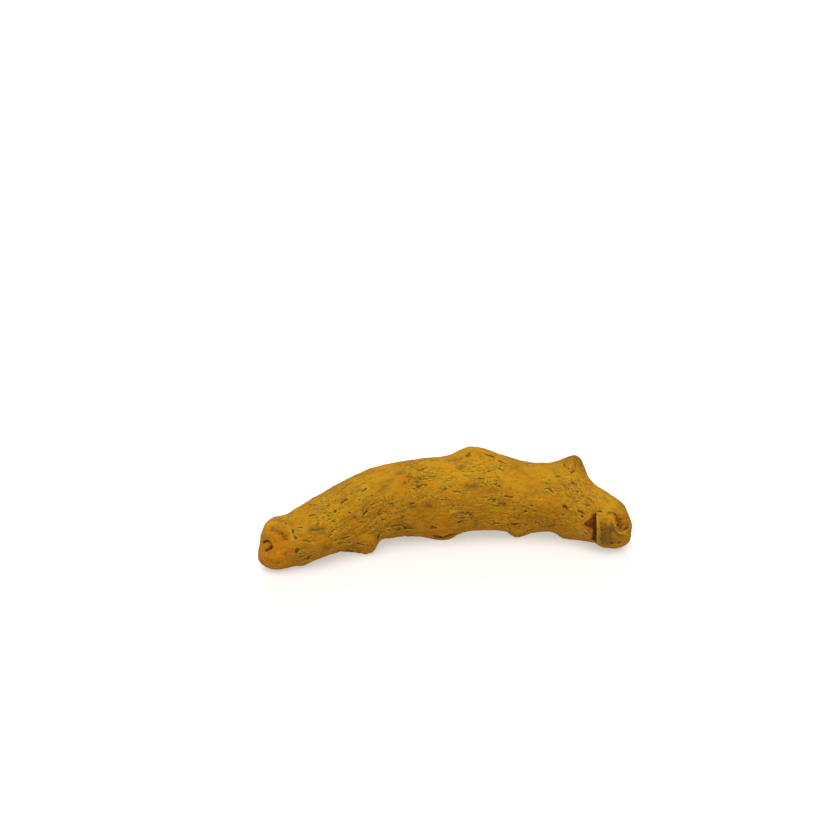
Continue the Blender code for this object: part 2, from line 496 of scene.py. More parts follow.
    def settled(self, height: np.ndarray) -> np.ndarray:
        """h^2 / 4e near the table, with e the flat edge, so the skin meets it softly and lies flat.

        Args:
            height: Heights before it is worn flat.

        Returns:
            Heights above the table.
        """
        raised = np.maximum(height - self.settle, 0)
        near = raised**2 / (4 * self.flat_edge)
        return np.where(raised < 2 * self.flat_edge, near, raised - self.flat_edge)


@dataclass(frozen=True)
class CrackScatter:
    """The small cracks strewn over the skin, and how their places and sizes are drawn."""

    count: int = 310
    clear_ends: Span = (3.5, 4.0)  # how much of the snapped end and of the tip has none
    kept: float = 0.5  # share of the draws that is kept where the crowding is 0
    crowd_pull: float = 1.3  # and what the crowding adds to it
    size_spread: float = 0.4  # of the sizes, which lie about 1
    half_length: float = 0.5  # times the size
    half_width: float = 0.125
    width_power: float = 0.4  # times the size to this power
    slant_spread: float = 14.0
    bow_spread: float = 0.35
    depths: Span = (0.03, 0.11)
    raw_depth: float = 0.05  # up to this depth they show raw flesh
    faintest: float = 0.4  # strength of a crack without depth
    deepening: float = 5.0  # and what each millimetre of depth adds
    ragged: float = 0.8


@dataclass(frozen=True)
class PaintedHighlightLip:
    """A lip beside a crack, on its lower side: a low rise with a painted highlight in light yellow.
    """

    gap: float = 0.29  # from the crack's middle line
    length_share: float = 0.8  # of the crack's length
    half_width: float = 0.13
    height: float = 0.03
    strength: float = 0.5

    def beside(self, crack: Stroke, body: FingerBody) -> Stroke:
        """The lip of one crack.

        Args:
            crack: The crack.
            body: The finger that it lies on.

        Returns:
            The lip's stroke.
        """
        slant = math.radians(crack.slant)
        side = math.copysign(self.gap, crack.turn * math.cos(slant))
        radius = float(np.interp(crack.along, body.sweep, body.profile))
        return replace(
            crack,
            along=crack.along - side * math.sin(slant),
            turn=crack.turn + math.degrees(side * math.cos(slant) / radius),
            half_length=self.length_share * crack.half_length,
            half_width=self.half_width,
            height=self.height,
            tone=Tone.PAINTED_HIGHLIGHT,
            strength=self.strength,
        )


@dataclass(frozen=True)
class SheathStain:
    """The colours about the sheath scar: painted shade in its recess, its red-brown tear, a painted
    highlight along its edge, and a grey plate.

    Each reach and blur is a length along the finger, and each span goes round it, from the scar's
    middle. The plate's own span goes along it, from the edge.
    """

    recess_shade_reach: float = 1.48
    recess_shade_blur: float = 0.7
    recess_shade_span: Span = (-3.1, 4.4)
    recess_shade_ends: float = 0.9  # how softly the recess starts and stops
    tear_reach: float = 2.3
    tear_blur: float = 1.1
    tear_span: Span = (-2.2, 0.3)
    tear_foot: float = 0.3  # how softly the tear stops at its wide end
    tear_strength: float = 0.74
    front_blur: float = 0.24  # how softly the painted shade stops at the plate's edge
    band_cover: float = 1.5  # the dark is full where this many times the band is 1
    scar_cover: float = 2.0  # and this many times the scar's share
    edge_highlight_place: float = 0.3  # where past the edge the painted highlight's light line lies
    edge_highlight_half_width: float = 0.25
    edge_highlight_strength: float = 0.7
    plate_span: Span = (0.45, 4.0)
    plate_ends: Span = (0.5, 0.8)
    cork_top: float = -2.4  # where the grey starts, round the finger
    cork_blur: float = 1.4
    cork_sway: float = 4.0  # how many times the shake moves the cork's top
    cork_strength: float = 1.3
    shake: Grain = Grain(0.7, 0.7, 0.12, 79)

    def lay(self, body: FingerBody, straight: np.ndarray, stain: np.ndarray) -> None:
        """Raises the stain strengths about the scar.

        The tear is a wedge: it widens evenly down its span and ends sharply.

        Args:
            body: The finger that has the scar.
            straight: The grid's points on the straight body.
            stain: Their stain strengths, in the order of Tone, which are changed.
        """
        run, q, inside = body.past_sheath(straight)
        shake = self.shake.at(straight)
        first, last = self.recess_shade_span
        band = smooth_step((q - first) / self.recess_shade_ends)
        band *= smooth_step((last - q) / self.recess_shade_ends)
        top, foot = self.tear_span
        wedge = np.clip((q - top) / (foot - top), 0, 1)
        wedge *= smooth_step((foot - q) / self.tear_foot + 0.5)
        # The recess band is painted shade, laid as dark red-brown; the tear is red-brown flesh.
        back = run + self.recess_shade_reach * band + shake
        torn = self.tear_strength * smooth_step((back + self.tear_reach * wedge) / self.tear_blur)
        dark = np.maximum(smooth_step(back / self.recess_shade_blur), torn)
        dark *= smooth_step(0.5 - run / self.front_blur)
        dark *= np.minimum(band * self.band_cover, 1) * np.minimum(inside * self.scar_cover, 1)
        # A painted highlight along the plate's raised edge.
        rubbed = np.exp(-(((run - self.edge_highlight_place) / self.edge_highlight_half_width) ** 2)) * inside
        (near, far), (near_end, far_end) = self.plate_span, self.plate_ends
        plate = smooth_step((run - near) / near_end) * smooth_step((far - run) / far_end) * inside
        cork = plate * smooth_step((q - self.cork_top + self.cork_sway * shake) / self.cork_blur)
        for tone, share in (
            (Tone.FLESH_AND_SHADE, dark),
            (Tone.PAINTED_HIGHLIGHT, self.edge_highlight_strength * rubbed),
            (Tone.GREY, self.cork_strength * cork),
        ):
            column = stain[:, tone.value]
            np.maximum(column, share, out=column)


@dataclass
class SkinMarks:
    """What time and handling left on the skin: creases, weathered cork, rubs and torn places."""

    strokes: tuple[Stroke, ...] = (
        # By the snapped end.
        Stroke(5.0, 44, 0.55, 0.19, 96, -0.16),
        Stroke(5.1, 58, 0.5, 0.20, 75, -0.18),
        Stroke(4.9, 90, 0.6, 0.27, 105, -0.26),
        Stroke(4.4, 22, 0.45, 0.25, 40, -0.08, strength=0.6),
        Stroke(6.3, 40, 0.55, 0.18, 28, -0.13, strength=0.9),
        Stroke(6.7, 73, 1.0, 0.17, 30, -0.13, strength=0.8, bow=0.25, ragged=1.5),
        Stroke(3.5, 11, 0.6, 0.45, 15, -0.05, Tone.GREY, 0.81),
        Stroke(8.5, 57, 1.5, 0.75, 24, -0.08, Tone.GREY, 0.91, ragged=1.0),
        Stroke(8.5, 57, 0.9, 0.19, 24, -0.13, strength=0.9, ragged=1.5),
        Stroke(9.2, 25, 0.75, 0.23, 16, -0.16),
        Stroke(9.6, 107, 0.8, 0.60, 20, -0.06, Tone.GREY, 0.71),
        Stroke(6.9, 118, 1.1, 0.23, -30, -0.13, strength=0.9, ragged=1.5),
        Stroke(11.2, 73, 0.5, 0.25, 20, -0.1, strength=0.6, bow=0.5),
        # Up to the bend.
        Stroke(13.3, 40, 0.45, 0.21, -10, -0.16),
        Stroke(16.1, 30, 1.0, 0.25, -8, -0.13, strength=0.8, ragged=1.5),
        Stroke(16.1, 30, 1.2, 0.68, -8, 0.0, Tone.GREY, 0.51),
        Stroke(16.3, 67, 0.8, 0.38, 48, -0.1, Tone.GREY, 0.91),
        Stroke(15.7, 56, 0.35, 0.19, 15, -0.13),
        Stroke(18.8, 69, 0.75, 0.21, -12, -0.16),
        Stroke(21.0, 31, 0.8, 0.20, -8, -0.13, strength=0.9),
        Stroke(23.7, 111, 1.05, 0.20, -14, -0.21, strength=0.9, bow=-0.2, ragged=1.5),
        Stroke(21.0, 120, 0.55, 0.28, -20, -0.14),
        Stroke(12.6, 99, 1.3, 0.19, 8, -0.13, strength=0.8, ragged=1.5),
        Stroke(13.3, 112, 1.6, 0.19, 10, -0.16, strength=0.8, ragged=1.5),
        Stroke(15.9, 120, 0.9, 0.21, 2, -0.18, strength=0.7, ragged=1.5),
        Stroke(25.1, 42, 1.3, 0.75, 0, -0.04, Tone.GREY, 0.71, ragged=1.0),
        # Round the bud scar and on to the hump.
        Stroke(29.2, 22, 1.0, 0.52, -22, -0.06, Tone.GREY, 0.91),
        Stroke(29.6, 36, 1.3, 0.9, -40, 0.12, Tone.RUBBED, 1.0, ragged=0.8),
        Stroke(29.4, 43, 0.4, 0.14, -10, -0.14, Tone.FLESH_AND_SHADE, 0.9),
        Stroke(30.6, 38, 0.9, 0.2, -50, -0.16, Tone.FLESH_AND_SHADE, 0.7),
        Stroke(32.3, 50, 0.95, 0.27, -8, -0.18, strength=0.9, ragged=1.5),
        Stroke(37.4, 58, 0.45, 0.20, -18, -0.18),
        Stroke(39.6, 62, 1.3, 0.21, 2, -0.13, strength=0.8, ragged=1.5),
        Stroke(39.6, 5, 1.9, 0.52, 5, -0.04, Tone.GREY, 0.71, ragged=1.0),
        Stroke(40.6, 22, 1.0, 0.42, 0, -0.08, Tone.GREY, 1.00),
        Stroke(42.2, 5, 0.65, 0.25, -8, -0.12, strength=0.9),
        Stroke(46.1, 3, 1.1, 0.3, 10, -0.14, Tone.FLESH_AND_SHADE, 0.8, ragged=1.0),
        Stroke(48.4, 11, 0.95, 0.21, 10, -0.18, strength=0.9, ragged=1.5),
        Stroke(42.7, 54, 1.5, 0.68, 0, -0.04, Tone.GREY, 0.91, ragged=1.0),
        Stroke(43.2, -4, 1.6, 1.1, 0, 0.0, Tone.RUBBED, 0.5, ragged=1.0),
        # The lower middle.
        Stroke(30.4, 79, 1.0, 0.45, -4, -0.06, Tone.GREY, 0.91),
        Stroke(30.3, 75, 0.75, 0.18, 0, -0.16),
        Stroke(33.7, 81, 0.9, 0.52, 0, -0.04, Tone.GREY, 0.91),
        Stroke(28.2, 97, 0.7, 0.38, 12, -0.06, Tone.GREY, 0.61),
        Stroke(40.6, 95, 0.7, 0.20, -22, -0.16, strength=0.9),
        Stroke(40.2, 113, 0.85, 0.23, -28, -0.18),
        Stroke(35.1, 122, 0.8, 0.3, 12, -0.14),
        Stroke(46.7, 115, 1.0, 0.17, 0, -0.16, strength=0.9, ragged=1.5),
        Stroke(47.9, 118, 0.9, 0.17, 0, -0.16, strength=0.9, ragged=1.5),
        Stroke(49.4, 127, 0.5, 0.21, -6, -0.18),
        Stroke(51.6, 117, 0.4, 0.2, -20, -0.14, Tone.FLESH_AND_SHADE),
        Stroke(51.8, 118, 0.9, 0.2, 0, -0.12, Tone.FLESH_AND_SHADE, 0.9, ragged=1.2),
        Stroke(54.3, 123, 0.55, 0.18, 0, -0.16),
        # Along the lower edge.
        Stroke(13.4, 98, 1.5, 0.17, 12, -0.14, strength=0.6, ragged=1.4),
        Stroke(14.9, 109, 1.4, 0.17, 10, -0.14, strength=0.6, ragged=1.4),
        Stroke(15.2, 127, 2.0, 0.7, 5, 0.0, Tone.GREY, 0.55, ragged=1.2),
        Stroke(21.1, 117, 0.7, 0.45, -30, -0.2, Tone.FLESH_AND_SHADE, 0.8, ragged=1.0),
        Stroke(26.4, 114, 2.4, 0.2, 4, -0.16, strength=0.7, ragged=1.4),
        Stroke(28.8, 122, 2.6, 0.2, -4, -0.16, strength=0.8, ragged=1.4),
        Stroke(28.0, 119, 3.0, 1.1, 0, 0.0, Tone.GREY, 0.75, ragged=1.4),
        Stroke(34.9, 123, 0.7, 0.4, 0, -0.12, Tone.FLESH_AND_SHADE, 0.7, ragged=1.2),
        Stroke(36.2, 144, 1.4, 0.5, 4, -0.1, Tone.FLESH_AND_SHADE, 0.75, ragged=1.2),
        Stroke(38.8, 141, 1.3, 0.5, -8, -0.1, Tone.FLESH_AND_SHADE, 0.75, ragged=1.2),
        Stroke(37.0, 132, 2.0, 0.9, 0, 0.0, Tone.RUBBED, 0.8, ragged=1.2),
        Stroke(52.9, 124, 0.4, 0.25, 20, -0.14, Tone.FLESH_AND_SHADE, 0.9),
        Stroke(55.0, 138, 1.0, 0.3, 0, -0.12, Tone.FLESH_AND_SHADE, 0.7, ragged=1.2),
        # From the hump to the tip.
        Stroke(47.3, 49, 0.35, 0.21, 0, -0.13),
        Stroke(50.2, 55, 0.4, 0.38, -10, -0.06, Tone.GREY, 0.91),
        Stroke(50.0, 68, 1.0, 0.20, 4, -0.13, strength=0.9, ragged=1.5),
        Stroke(48.8, 80, 1.3, 0.45, 0, -0.08, Tone.GREY, 1.00),
        Stroke(53.9, 91, 0.45, 0.19, 10, -0.16),
        Stroke(55.9, 89, 0.35, 0.19, 0, -0.13),
        Stroke(57.9, 38, 0.9, 0.33, 4, -0.06, Tone.GREY, 0.81),
        Stroke(58.4, 48, 1.3, 0.18, 6, -0.16, strength=0.8, bow=0.15, ragged=1.5),
        Stroke(59.8, 1, 0.6, 0.24, 30, -0.12, Tone.FLESH_AND_SHADE, 0.55),
        Stroke(61.6, 7, 0.6, 0.22, -65, -0.16, Tone.FLESH_AND_SHADE, 0.6),
        Stroke(61.0, -14, 1.5, 1.3, 30, 0.0, Tone.GREY, 1.0, ragged=1.0),
        Stroke(63.1, 68, 0.8, 0.3, 0, -0.14, Tone.FLESH_AND_SHADE, 0.9, ragged=1.2),
        Stroke(67.0, 64, 0.95, 0.23, 4, -0.13, strength=0.9, ragged=1.0),
        Stroke(67.6, 43, 0.6, 0.52, 0, -0.08, Tone.GREY, 0.91),
        Stroke(62.5, 38, 1.2, 0.7, 0, -0.04, Tone.RUBBED, 0.35, ragged=1.2),
        # The sheath scar's plate, and the torn end past it.
        Stroke(71.9, 48, 0.8, 0.4, -30, 0.0, Tone.RUBBED, 0.3),
        Stroke(73.8, 76, 1.1, 0.9, 60, -0.05, strength=0.42, ragged=1.2),
        Stroke(72.7, 84, 0.5, 1.1, 0, -0.03, strength=0.32, ragged=1.2),
        # A painted highlight on the plate.
        Stroke(73.2, 58, 0.4, 0.35, 30, 0.04, Tone.PAINTED_HIGHLIGHT, 0.6, ragged=1.2),
        Stroke(74.2, 22, 1.5, 1.2, -60, 0.0, Tone.RUBBED, 0.9, ragged=0.8),
        Stroke(69.6, 96, 1.0, 0.8, 0, 0.0, Tone.RUBBED, 0.7, ragged=1.0),
        Stroke(73.8, 130, 0.6, 0.24, 59, -0.2, ragged=1.0),
        Stroke(74.3, 152, 0.55, 0.24, 77, -0.2, ragged=1.0),
        Stroke(74.3, 110, 1.3, 0.4, 69, 0.0, Tone.RUBBED, 0.7),
        # The snapped end's face: orange lobes, and the nub that its torn crease goes round.
        Stroke(0.4, 118, 2.2, 2.4, 0, 0.0, Tone.RUBBED, 0.8, ragged=0.8),
        Stroke(1.7, 62, 2.3, 2.6, 0, 0.0, Tone.RUBBED, 0.6, ragged=0.8),
        Stroke(2.8, 92, 1.6, 1.6, 0, 0.0, Tone.RUBBED, 0.7, ragged=0.6),
        Stroke(0.6, 20, 1.4, 1.1, 60, 0.0, Tone.RUBBED, 0.7, ragged=0.6),
        Stroke(0.2, 61, 0.5, 0.5, 0, 0.3, Tone.RUBBED, 1.0, ragged=0.3),
        Stroke(0.3, 112, 0.8, 0.6, 30, 0.0, Tone.RUBBED, 1.0, ragged=1.0),
        # Painted highlights on the end's face.
        Stroke(1.3, 76, 0.5, 0.3, 20, 0.08, Tone.PAINTED_HIGHLIGHT, 0.6, ragged=1.2),
        Stroke(2.0, 88, 0.4, 0.25, 60, 0.08, Tone.PAINTED_HIGHLIGHT, 0.5, ragged=1.2),
        Stroke(2.0, 6, 1.4, 0.5, 30, 0.05, Tone.PAINTED_HIGHLIGHT, 0.5, ragged=1.0),
        # The back and the underside.
        Stroke(27.0, -98, 1.6, 1.6, 0, 0.0, Tone.FLESH_AND_SHADE, 0.8, ragged=0.8),
        Stroke(27.0, -98, 2.9, 2.9, 0, 0.0, Tone.RUBBED, 0.5, ragged=1.0),
        Stroke(51.0, -112, 1.0, 0.9, 0, 0.0, Tone.RUBBED, 0.6, ragged=0.8),
        Stroke(13.0, -128, 0.8, 0.7, 0, -0.15, Tone.FLESH_AND_SHADE, 0.8, ragged=0.8),
        Stroke(40.0, -70, 1.6, 0.5, 10, -0.05, Tone.GREY, 0.9, ragged=1.0),
        Stroke(59.0, -84, 1.3, 0.4, -8, -0.05, Tone.GREY, 0.9, ragged=1.0),
        Stroke(17.0, -60, 1.4, 0.5, 12, -0.05, Tone.GREY, 0.8, ragged=1.0),
    )
    trails: tuple[Trail, ...] = (
        # The snapped end's crescent-shaped groove with its shade painted dark red-brown, a painted
        # highlight on its rim, and its torn crease.
        Trail(((1.8, 21), (3.1, 37), (3.65, 55)), 0.6, -0.5, Tone.FLESH_AND_SHADE, 0.52),
        Trail(((4.6, 33), (4.75, 48), (4.4, 64)), 0.25, 0.14, Tone.PAINTED_HIGHLIGHT, 0.5),
        Trail(
            ((0.06, 31), (0.22, 38), (0.52, 46), (0.66, 56), (0.44, 67), (0.3, 76), (0.13, 84)),
            0.24, -0.42, Tone.FLESH_AND_SHADE,
        ),
        # The torn tip's ridge with a painted highlight, its hollow, the ridge beyond with a fainter
        # painted highlight, and two pits.
        Trail(
            ((73.2, 41), (73.9, 51), (74.2, 69), (74.55, 88), (74.73, 134), (74.7, -164)),
            0.17, 0.3, Tone.PAINTED_HIGHLIGHT, 0.8,
        ),
        Trail(((74.0, 30), (74.4, 30), (74.58, 34)), 0.65, -0.42, Tone.FLESH_AND_SHADE, 0.6),
        Trail(((72.3, 36), (72.9, 29), (73.5, 25)), 0.2, -0.16, Tone.FLESH_AND_SHADE, 0.75),
        Trail(((70.3, 49), (70.7, 44), (71.2, 43)), 0.2, -0.1, Tone.FLESH_AND_SHADE, 0.8),
        Trail(((73.9, 0), (74.2, -10), (74.5, -15)), 0.3, 0.4, Tone.RUBBED),
        Trail(((74.15, -38), (74.32, -66), (74.36, -98)), 0.5, 0.26, Tone.PAINTED_HIGHLIGHT, 0.3),
        Trail(((74.25, 52), (74.5, 50), (74.66, 56)), 0.22, -0.35),
        Trail(((74.74, 60), (74.64, -68)), 0.26, -0.4),
    )
    rings: tuple[Ring, ...] = (
        Ring(27.0, -98, 2.4, 0.25, 0.2, Tone.RUBBED, 0.3),
        Ring(27.0, -98, 1.3, 0.2, -0.2, Tone.FLESH_AND_SHADE, 0.8),
        Ring(51.0, -112, 1.7, 0.2, -0.2, Tone.CRACK, 0.6, open_at=90),
        Ring(61.3, -10, 2.6, 0.2, -0.1, Tone.CRACK, 0.3, open_at=180),
    )
    # Where the cracks crowd (above 0) or are few (below 0): depth is the change of the crowding.
    crowds: tuple[WrinkleField, ...] = (
        WrinkleField(10.0, 65.0, 7.0, 5.0, 0.15),
        WrinkleField(20.0, 115.0, 8.0, 4.0, 0.25),
        WrinkleField(32.0, 25.0, 3.5, 4.0, 0.3),
        WrinkleField(50.0, 105.0, 10.0, 3.5, 0.3),
        WrinkleField(54.0, 10.0, 5.0, 4.0, -0.5),
        WrinkleField(39.0, 35.0, 5.0, 4.0, -0.3),
        WrinkleField(66.0, 70.0, 3.0, 4.0, 0.2),
        WrinkleField(0.5, 75.0, 3.8, 6.0, -0.9),
    )
    wrinkle_fields: tuple[WrinkleField, ...] = (
        WrinkleField(17.0, 112, 7.0, 4.5, 0.26),
        WrinkleField(50.5, 112, 10.0, 4.0, 0.22),
        WrinkleField(35.0, 118, 8.0, 3.5, 0.18),
        WrinkleField(60.0, -60, 7.0, 5.0, 0.12),
        WrinkleField(20.0, -100, 9.0, 5.0, 0.12),
        WrinkleField(42.0, -120, 9.0, 6.0, 0.12),
        WrinkleField(30.0, 180, 14.0, 6.0, 0.12),
    )
    scatter: CrackScatter = CrackScatter()
    crowd_grain: Grain = Grain(6.0, 6.0, 1.0, 41)
    lip: PaintedHighlightLip = PaintedHighlightLip()
    narrow: float = 0.25  # cracks under this half width have a lip with a painted highlight
    last_lip: float = 70.0  # and lie before this length, so that the torn tip has none
    sheath_stain: SheathStain = SheathStain()
    # How the strokes' middle lines wander, and how each kind of mark is frayed.
    wander: Grain = Grain(0.8, 0.8, 0.16, 80)
    stroke_fray: Grain = Grain(0.55, 0.55, 1.0, 77)
    stroke_fray_span: Span = (-0.8, 2.0)  # least and most
    ring_fray: Grain = Grain(0.8, 0.8, 0.16, 78)
    trail_fray: Grain = Grain(0.6, 0.6, 0.45, 81)
    # Half lengths or half widths at which a mark has faded out, and a little more for its wander.
    stroke_end: float = 1.6
    trail_end: float = 3.0
    spare: float = 0.4
    trail_steps: int = 4  # straight steps for each place of a trail
    ring_gap: Span = (0.6, 0.9)  # a ring's strength is smooth_step(first - second * cos(turn))
    # The fine folds lie where a noise, swayed by a broader one, is within this width of 0.
    wrinkle_depth: float = 0.06
    wrinkle_grain: Grain = Grain(4.6, 0.85, 1.0, 62)
    wrinkle_sway: Grain = Grain(3.0, 3.0, 0.5, 61)
    wrinkle_width: float = 0.16
    dent_grains: tuple[Grain, ...] = (Grain(1.7, 1.3, 0.10, 63), Grain(0.68, 0.52, 0.04, 64))

    def field_share(
        self, spread: WrinkleField, body: FingerBody, straight: np.ndarray
    ) -> np.ndarray:
        """exp(-d^2), with d the distance over the field's reach each way, on its own side.

        Args:
            spread: The field.
            body: The finger that they lie on.
            straight: Points of the straight body.

        Returns:
            A value of 0 to about 1 for each point.
        """
        spot, ways = body.spot(spread.along, spread.turn)
        offset = (straight - spot) @ ways.T
        far = np.hypot(offset[:, 0] / spread.reach_along, offset[:, 1] / spread.reach_round)
        return np.exp(-(far**2)) * own_side(offset[:, 2], FIELD_DEPTH)

    def crowding(self, body: FingerBody, straight: np.ndarray) -> np.ndarray:
        """A broad noise, and what each of the crowds adds to it.

        Args:
            body: The finger that they lie on.
            straight: Points of the straight body.

        Returns:
            How thickly the small cracks lie at each point: 0 for the middle.
        """
        crowd = self.crowd_grain.at(straight)
        for spread in self.crowds:
            crowd += spread.depth * self.field_share(spread, body, straight)
        return crowd

    def scattered(self, body: FingerBody) -> list[Stroke]:
        """Small cracks all over, thicker in some patches, and the painted-highlight lips of all
        narrow cracks.

        Args:
            body: The finger that they lie on.

        Returns:
            The strokes.
        """
        scatter = self.scatter
        draw = np.random.default_rng(self.crowd_grain.seed)
        cracks = [mark for mark in self.strokes if mark.tone is Tone.CRACK]
        narrow = [mark for mark in cracks if mark.half_width < self.narrow]
        flecks = [self.lip.beside(mark, body) for mark in narrow if mark.along < self.last_lip]
        enough = len(flecks) + 2 * scatter.count
        start, stop = scatter.clear_ends
        while len(flecks) < enough:
            along, turn = draw.uniform(start, body.length - stop), draw.uniform(-180, 180)
            crowd = self.crowding(body, body.spot(along, turn)[0][None])[0]
            keep, size = draw.random(), draw.lognormal(0, scatter.size_spread)
            slant, depth = draw.normal(0, scatter.slant_spread), draw.uniform(*scatter.depths)
            bow = draw.normal(0, scatter.bow_spread)
            if keep < scatter.kept + scatter.crowd_pull * crowd:
                crack = Stroke(
                    along,
                    turn,
                    half_length=scatter.half_length * size,
                    half_width=scatter.half_width * size**scatter.width_power,
                    slant=slant,
                    height=-depth,
                    tone=Tone.CRACK if depth > scatter.raw_depth else Tone.FLESH_AND_SHADE,
                    strength=scatter.faintest + scatter.deepening * depth,
                    bow=bow,
                    ragged=scatter.ragged,
                )
                flecks += [crack, self.lip.beside(crack, body)]
        return flecks

    def stroke_share(self, mark: Stroke, body: FingerBody, straight: np.ndarray) -> np.ndarray:
        """The stroke's strength at each point, with a ragged edge from fine noise.

        Args:
            mark: The stroke.
            body: The finger that it lies on.
            straight: Points of the straight body.

        Returns:
            A value of 0 to about 1 for each point.
        """
        spot, ways = body.spot(mark.along, mark.turn)
        offset = (straight - spot) @ ways.T
        slant = math.radians(mark.slant)
        p = offset[:, 0] * math.cos(slant) + offset[:, 1] * math.sin(slant)
        q = offset[:, 1] * math.cos(slant) - offset[:, 0] * math.sin(slant) - mark.bow * p**2
        q += self.wander.at(straight)
        fray = np.clip(self.stroke_fray.at(straight) * mark.ragged, *self.stroke_fray_span)
        reach = np.abs(p / mark.half_length) ** 4 + np.abs(q / mark.half_width) ** 2
        return np.exp(-reach * (1 + fray)) * own_side(offset[:, 2], MARK_DEPTH)

    def trail_share(self, mark: Trail, body: FingerBody, straight: np.ndarray) -> np.ndarray:
        """The trail's strength at each point: its curve is walked in short straight steps.

        Args:
            mark: The trail.
            body: The finger that it lies on.
            straight: Points of the straight body.

        Returns:
            A value of 0 to 1 for each point.
        """
        knots = np.array([body.spot(*place)[0] for place in mark.through])
        walked = np.concatenate([[0], np.cumsum(np.linalg.norm(np.diff(knots, axis=0), axis=1))])
        stops = np.linspace(0, walked[-1], self.trail_steps * len(knots))
        line = natural_spline(walked, knots, stops)
        gap = np.full(len(straight), np.inf)
        for start, step in zip(line, np.diff(line, axis=0)):
            share = np.clip((straight - start) @ step / (step @ step), 0, 1)
            gap = np.minimum(gap, np.linalg.norm(straight - start - share[:, None] * step, axis=1))
        width = mark.half_width * (1 + self.trail_fray.at(straight))
        return np.exp(-((gap / width) ** 2))

    def ring_share(self, mark: Ring, body: FingerBody, straight: np.ndarray) -> np.ndarray:
        """The ring's strength at each point, frayed by fine noise.

        Args:
            mark: The ring.
            body: The finger that it lies on.
            straight: Points of the straight body.

        Returns:
            A value of 0 to about 1 for each point.
        """
        spot, ways = body.spot(mark.along, mark.turn)
        offset = (straight - spot) @ ways.T
        fray = 1 + self.ring_fray.at(straight)
        gap = np.hypot(offset[:, 0], offset[:, 1]) * fray - mark.radius
        share = np.exp(-((gap / mark.half_width) ** 2)) * own_side(offset[:, 2], MARK_DEPTH)
        if mark.open_at is not None:
            turn = np.arctan2(offset[:, 1], offset[:, 0]) - math.radians(mark.open_at)
            share = share * smooth_step(self.ring_gap[0] - self.ring_gap[1] * np.cos(turn))
        return share

    def press(self, body: FingerBody, straight: np.ndarray) -> tuple[np.ndarray, np.ndarray]:
        """All marks together.

        Args:
            body: The finger that they lie on.
            straight: The grid's points on the straight body.

        Returns:
            How far the marks raise each point, and its stain strengths, in the order of Tone.
        """
        count = len(straight)
        lift, stain = np.zeros(count), np.zeros((count, len(Tone)))
        self.sheath_stain.lay(body, straight, stain)
        along = straight[:, 0]

        def lay(mark: Stroke | Trail | Ring, share: np.ndarray, rows: slice) -> None:
            """Adds one mark's height and stain. A rub or a painted highlight takes the grey cork
            off.

            Args:
                mark: The mark.
                share: Its strength at each of the rows.
                rows: The points that it may reach.
            """
            lift[rows] += mark.height * share
            column = stain[rows, mark.tone.value]
            np.maximum(column, share * mark.strength, out=column)
            if mark.tone in (Tone.RUBBED, Tone.PAINTED_HIGHLIGHT):
                stain[rows, Tone.GREY.value] *= 1 - share * mark.strength

        for mark in (*self.strokes, *self.scattered(body)):
            reach = self.stroke_end * max(mark.half_length, mark.half_width) + self.spare
            first, last = np.searchsorted(along, [mark.along - reach, mark.along + reach])
            lay(mark, self.stroke_share(mark, body, straight[first:last]), slice(first, last))
        for mark in self.trails:
            alongs = [place[0] for place in mark.through]
            reach = self.trail_end * mark.half_width + self.spare
            first, last = np.searchsorted(along, [min(alongs) - reach, max(alongs) + reach])
            lay(mark, self.trail_share(mark, body, straight[first:last]), slice(first, last))
        for mark in self.rings:
            lay(mark, self.ring_share(mark, body, straight), slice(None))
        return lift, stain

    def wrinkles(self, body: FingerBody, straight: np.ndarray) -> np.ndarray:
        """Fine folds: valleys lie where a noise drawn out along the finger is near 0.

        Args:
            body: The finger that they lie on.
            straight: The grid's points on the straight body.

        Returns:
            How far they raise each point, which is 0 or less.
        """
        depth = np.full(len(straight), self.wrinkle_depth)
        for fold in self.wrinkle_fields:
            depth += fold.depth * self.field_share(fold, body, straight)
        sway = self.wrinkle_sway.at(straight)[:, None]
        grain = self.wrinkle_grain.at(straight, sway)
        return -depth * np.exp(-((grain / self.wrinkle_width) ** 2))

    def dents(self, straight: np.ndarray) -> np.ndarray:
        """Shallow dents all over, from noise of two sizes."""
        return sum(grain.at(straight) for grain in self.dent_grains)


